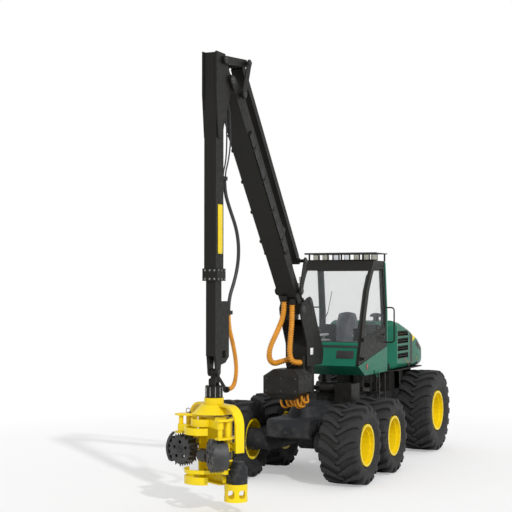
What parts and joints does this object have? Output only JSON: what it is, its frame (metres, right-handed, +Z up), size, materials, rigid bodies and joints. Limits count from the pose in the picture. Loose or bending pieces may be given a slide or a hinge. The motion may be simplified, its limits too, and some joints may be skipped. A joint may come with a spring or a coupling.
{
  "type": "forestry harvester",
  "caption": "Articulated forestry harvester: wheeled carrier with bogie, hollow cab, tilting hood, slewing crane with sliding stick, and a hanging harvesting head with knives, feed rollers and saw.",
  "frame": {"origin": "on the ground, under the middle of the machine's length and width", "axes": "+Z up, -Y the way the machine faces, +X its left side"},
  "size_m": [2.826, 9.5185, 6.9835],
  "materials": {
    "green_paint": "satin",
    "black_paint": "satin",
    "grey_paint": "satin",
    "yellow_paint": "gloss",
    "tyre_rubber": "matte",
    "window_glass": "gloss",
    "trim_fabric": "matte",
    "cab_plastic": "matte",
    "cylinder_rod": "polished",
    "tool_steel": "satin",
    "engine_iron": "matte",
    "orange_hose": "satin",
    "black_hose": "satin"
  },
  "bodies": {
    "front_frame": {"front_frame": "grey_paint", "bogie_cases": "grey_paint", "cab_tub": "green_paint", "cab_frame": "black_paint", "cab_glass": "window_glass", "cab_fittings": "cab_plastic", "driver_cushions": "trim_fabric", "roof_lamps": "black_paint", "cab_carrier": "black_paint"},
    "cab_door": {"cab_door": "black_paint", "door_glass": "window_glass"},
    "rear_frame": {"rear_frame": "grey_paint", "rear_deck": "black_paint", "engine_block": "engine_iron"},
    "hood": {"hood": "green_paint"},
    "crane_pillar": {"crane_pillar": "black_paint", "slew_hose_right": "orange_hose", "slew_hose_left": "orange_hose"},
    "main_boom": {"main_boom": "black_paint"},
    "lower_lever": {"lower_lever": "black_paint"},
    "upper_lever": {"upper_lever": "black_paint"},
    "long_rod": {"long_rod": "black_paint"},
    "tip_link": {"tip_link": "black_paint"},
    "lift_barrel": {"lift_barrel": "black_paint"},
    "lift_rod": {"lift_rod": "cylinder_rod"},
    "stick": {"stick": "black_paint", "stick_hose": "black_hose"},
    "extension": {"extension": "black_paint", "head_hose": "orange_hose"},
    "wrist_link": {"wrist_link": "black_paint"},
    "rotator": {"rotator": "black_paint"},
    "tilt_frame": {"tilt_frame": "yellow_paint"},
    "head_frame": {"head_frame": "yellow_paint", "saw_box": "grey_paint"},
    "back_roller": {"back_roller": "tool_steel"},
    "saw_bar": {"saw_bar": "tool_steel"},
    "upper_left_knife": {"upper_left_knife": "yellow_paint"},
    "upper_right_knife": {"upper_right_knife": "yellow_paint"},
    "lower_left_knife": {"lower_left_knife": "yellow_paint"},
    "lower_right_knife": {"lower_right_knife": "yellow_paint"},
    "feed_arm_left": {"feed_arm_left": "tool_steel"},
    "feed_arm_right": {"feed_arm_right": "tool_steel"},
    "feed_roller_left": {"feed_roller_left": "tool_steel"},
    "feed_roller_right": {"feed_roller_right": "tool_steel"},
    "steer_barrel_left": {"steer_barrel_left": "black_paint"},
    "steer_barrel_right": {"steer_barrel_right": "black_paint"},
    "steer_rod_left": {"steer_rod_left": "cylinder_rod"},
    "steer_rod_right": {"steer_rod_right": "cylinder_rod"},
    "wheel_front_left": {"tyre_front_left": "tyre_rubber", "rim_front_left": "yellow_paint"},
    "wheel_front_right": {"tyre_front_right": "tyre_rubber", "rim_front_right": "yellow_paint"},
    "wheel_middle_left": {"tyre_middle_left": "tyre_rubber", "rim_middle_left": "yellow_paint"},
    "wheel_middle_right": {"tyre_middle_right": "tyre_rubber", "rim_middle_right": "yellow_paint"},
    "wheel_rear_left": {"tyre_rear_left": "tyre_rubber", "rim_rear_left": "yellow_paint"},
    "wheel_rear_right": {"tyre_rear_right": "tyre_rubber", "rim_rear_right": "yellow_paint"}
  },
  "joints": [
    {"name": "wheel_front_left", "type": "hinge", "parent": "front_frame", "child": "wheel_front_left", "pos_m": [1.071, -0.934, 0.68], "axis": [1, 0, 0], "continuous": true},
    {"name": "wheel_front_right", "type": "hinge", "parent": "front_frame", "child": "wheel_front_right", "pos_m": [-1.071, -0.934, 0.68], "axis": [1, 0, 0], "continuous": true},
    {"name": "wheel_middle_left", "type": "hinge", "parent": "front_frame", "child": "wheel_middle_left", "pos_m": [1.071, 0.552, 0.68], "axis": [1, 0, 0], "continuous": true},
    {"name": "wheel_middle_right", "type": "hinge", "parent": "front_frame", "child": "wheel_middle_right", "pos_m": [-1.071, 0.552, 0.68], "axis": [1, 0, 0], "continuous": true},
    {"name": "wheel_rear_left", "type": "hinge", "parent": "rear_frame", "child": "wheel_rear_left", "pos_m": [0.93, 3.876, 0.829], "axis": [1, 0, 0], "continuous": true},
    {"name": "wheel_rear_right", "type": "hinge", "parent": "rear_frame", "child": "wheel_rear_right", "pos_m": [-0.93, 3.876, 0.829], "axis": [1, 0, 0], "continuous": true},
    {"name": "waist", "type": "hinge", "parent": "front_frame", "child": "rear_frame", "pos_m": [0, 2.409, 1.05], "axis": [0, 0, 1], "range_deg": [-40, 40]},
    {"name": "cab_door", "type": "hinge", "parent": "front_frame", "child": "cab_door", "pos_m": [0.735, 0.659, 2.8], "axis": [0, 0, -1], "range_deg": [0, 75]},
    {"name": "hood", "type": "hinge", "parent": "rear_frame", "child": "hood", "pos_m": [0, 4.584, 1.75], "axis": [-1, 0, 0], "range_deg": [0, 55]},
    {"name": "slew", "type": "hinge", "parent": "front_frame", "child": "crane_pillar", "pos_m": [0, -0.441, 1.395], "axis": [0, 0, -1], "range_deg": [-110, 110]},
    {"name": "boom_lift", "type": "hinge", "parent": "crane_pillar", "child": "main_boom", "pos_m": [0, -0.965, 2.987], "axis": [1, 0, 0], "range_deg": [-12, 45], "deforming": ["slew_hose_right", "slew_hose_left"]},
    {"name": "lift_barrel_swing", "type": "hinge", "parent": "crane_pillar", "child": "lift_barrel", "pos_m": [0, -0.641, 3.12], "axis": [1, 0, 0], "range_deg": [-14, 44]},
    {"name": "lift_rod_slide", "type": "slide", "parent": "lift_barrel", "child": "lift_rod", "axis": [0, -0.6324, 0.7747], "range_m": [-0.08, 0.25]},
    {"name": "stick_fold", "type": "hinge", "parent": "main_boom", "child": "stick", "pos_m": [0, -3.742, 6.575], "axis": [-1, 0, 0], "range_deg": [-12, 100]},
    {"name": "upper_lever", "type": "hinge", "parent": "main_boom", "child": "upper_lever", "pos_m": [0, -3.452, 6.392], "axis": [-1, 0, 0], "range_deg": [-12, 80]},
    {"name": "lower_lever", "type": "hinge", "parent": "main_boom", "child": "lower_lever", "pos_m": [0, -1.121, 3.31], "axis": [-1, 0, 0], "range_deg": [-12, 80]},
    {"name": "long_rod", "type": "hinge", "parent": "lower_lever", "child": "long_rod", "pos_m": [0, -0.921, 3.84], "axis": [-1, 0, 0], "range_deg": [-80, 12]},
    {"name": "tip_link", "type": "hinge", "parent": "upper_lever", "child": "tip_link", "pos_m": [0, -3.252, 6.922], "axis": [-1, 0, 0], "range_deg": [-40, 5]},
    {"name": "stick_extension", "type": "slide", "parent": "stick", "child": "extension", "axis": [0, 0, 1], "range_m": [-0.9, 0.9], "deforming": ["stick_hose"]},
    {"name": "wrist_swing", "type": "hinge", "parent": "extension", "child": "wrist_link", "pos_m": [0, -4.05, 2.085], "axis": [1, 0, 0], "range_deg": [-50, 50], "deforming": ["head_hose"]},
    {"name": "wrist_tilt", "type": "hinge", "parent": "wrist_link", "child": "rotator", "pos_m": [0, -4.05, 1.945], "axis": [0, 1, 0], "range_deg": [-35, 35]},
    {"name": "rotator_turn", "type": "hinge", "parent": "rotator", "child": "tilt_frame", "pos_m": [0, -4.05, 1.7], "axis": [0, 0, 1], "continuous": true},
    {"name": "head_tilt", "type": "hinge", "parent": "tilt_frame", "child": "head_frame", "pos_m": [0.015, -4.02402, 1], "axis": [0.866, -0.5, 0], "range_deg": [0, 90]},
    {"name": "upper_left_knife", "type": "hinge", "parent": "head_frame", "child": "upper_left_knife", "pos_m": [-0.59265, -3.99651, 1.25], "axis": [0, 0, -1], "range_deg": [0, 60]},
    {"name": "upper_right_knife", "type": "hinge", "parent": "head_frame", "child": "upper_right_knife", "pos_m": [0.34265, -4.53651, 1.25], "axis": [0, 0, 1], "range_deg": [0, 60]},
    {"name": "lower_left_knife", "type": "hinge", "parent": "head_frame", "child": "lower_left_knife", "pos_m": [-0.3943, -3.90895, 0.55], "axis": [0, 0, -1], "range_deg": [0, 60]},
    {"name": "lower_right_knife", "type": "hinge", "parent": "head_frame", "child": "lower_right_knife", "pos_m": [0.3193, -4.32095, 0.55], "axis": [0, 0, 1], "range_deg": [0, 60]},
    {"name": "feed_arm_left", "type": "hinge", "parent": "head_frame", "child": "feed_arm_left", "pos_m": [-0.45319, -3.87495, 0.878], "axis": [0, 0, -1], "range_deg": [-15, 30]},
    {"name": "feed_roller_left", "type": "hinge", "parent": "feed_arm_left", "child": "feed_roller_left", "pos_m": [-0.53873, -4.14311, 0.89], "axis": [0.225, 0.9744, 0], "continuous": true},
    {"name": "feed_arm_right", "type": "hinge", "parent": "head_frame", "child": "feed_arm_right", "pos_m": [0.37819, -4.35495, 0.878], "axis": [0, 0, 1], "range_deg": [-15, 30]},
    {"name": "feed_roller_right", "type": "hinge", "parent": "feed_arm_right", "child": "feed_roller_right", "pos_m": [0.18873, -4.56311, 0.89], "axis": [0.7314, 0.682, 0], "continuous": true},
    {"name": "back_roller", "type": "hinge", "parent": "head_frame", "child": "back_roller", "pos_m": [-0.075, -4.1799, 0.83], "axis": [0.866, -0.5, 0], "continuous": true},
    {"name": "saw_bar", "type": "hinge", "parent": "head_frame", "child": "saw_bar", "pos_m": [0.37989, -4.25201, 0.565], "axis": [0, 0, 1], "range_deg": [0, 90]},
    {"name": "steer_swing_left", "type": "hinge", "parent": "front_frame", "child": "steer_barrel_left", "pos_m": [0.38, 1.609, 1.05], "axis": [0, 0, 1], "range_deg": [-14, 14]},
    {"name": "steer_slide_left", "type": "slide", "parent": "steer_barrel_left", "child": "steer_rod_left", "axis": [0.0348, 0.9994, 0], "range_m": [-0.3, 0.3]},
    {"name": "steer_swing_right", "type": "hinge", "parent": "front_frame", "child": "steer_barrel_right", "pos_m": [-0.38, 1.609, 1.05], "axis": [0, 0, 1], "range_deg": [-14, 14]},
    {"name": "steer_slide_right", "type": "slide", "parent": "steer_barrel_right", "child": "steer_rod_right", "axis": [-0.0348, 0.9994, 0], "range_m": [-0.3, 0.3]}
  ],
  "couplings": [
    {"joint": "lift_barrel_swing", "follows": "boom_lift", "ratio": 0.9},
    {"joint": "lift_rod_slide", "follows": "boom_lift", "m_per_rad": 0.31},
    {"joint": "upper_lever", "follows": "stick_fold", "ratio": 0.75},
    {"joint": "lower_lever", "follows": "stick_fold", "ratio": 0.75},
    {"joint": "long_rod", "follows": "stick_fold", "ratio": -0.75},
    {"joint": "tip_link", "follows": "stick_fold", "ratio": -0.283},
    {"joint": "upper_right_knife", "follows": "upper_left_knife", "ratio": 1},
    {"joint": "lower_right_knife", "follows": "lower_left_knife", "ratio": 1},
    {"joint": "feed_arm_right", "follows": "feed_arm_left", "ratio": 1},
    {"joint": "steer_swing_left", "follows": "waist", "ratio": 0.297},
    {"joint": "steer_swing_right", "follows": "waist", "ratio": 0.297},
    {"joint": "steer_slide_left", "follows": "waist", "m_per_rad": 0.396},
    {"joint": "steer_slide_right", "follows": "waist", "m_per_rad": -0.396}
  ]
}
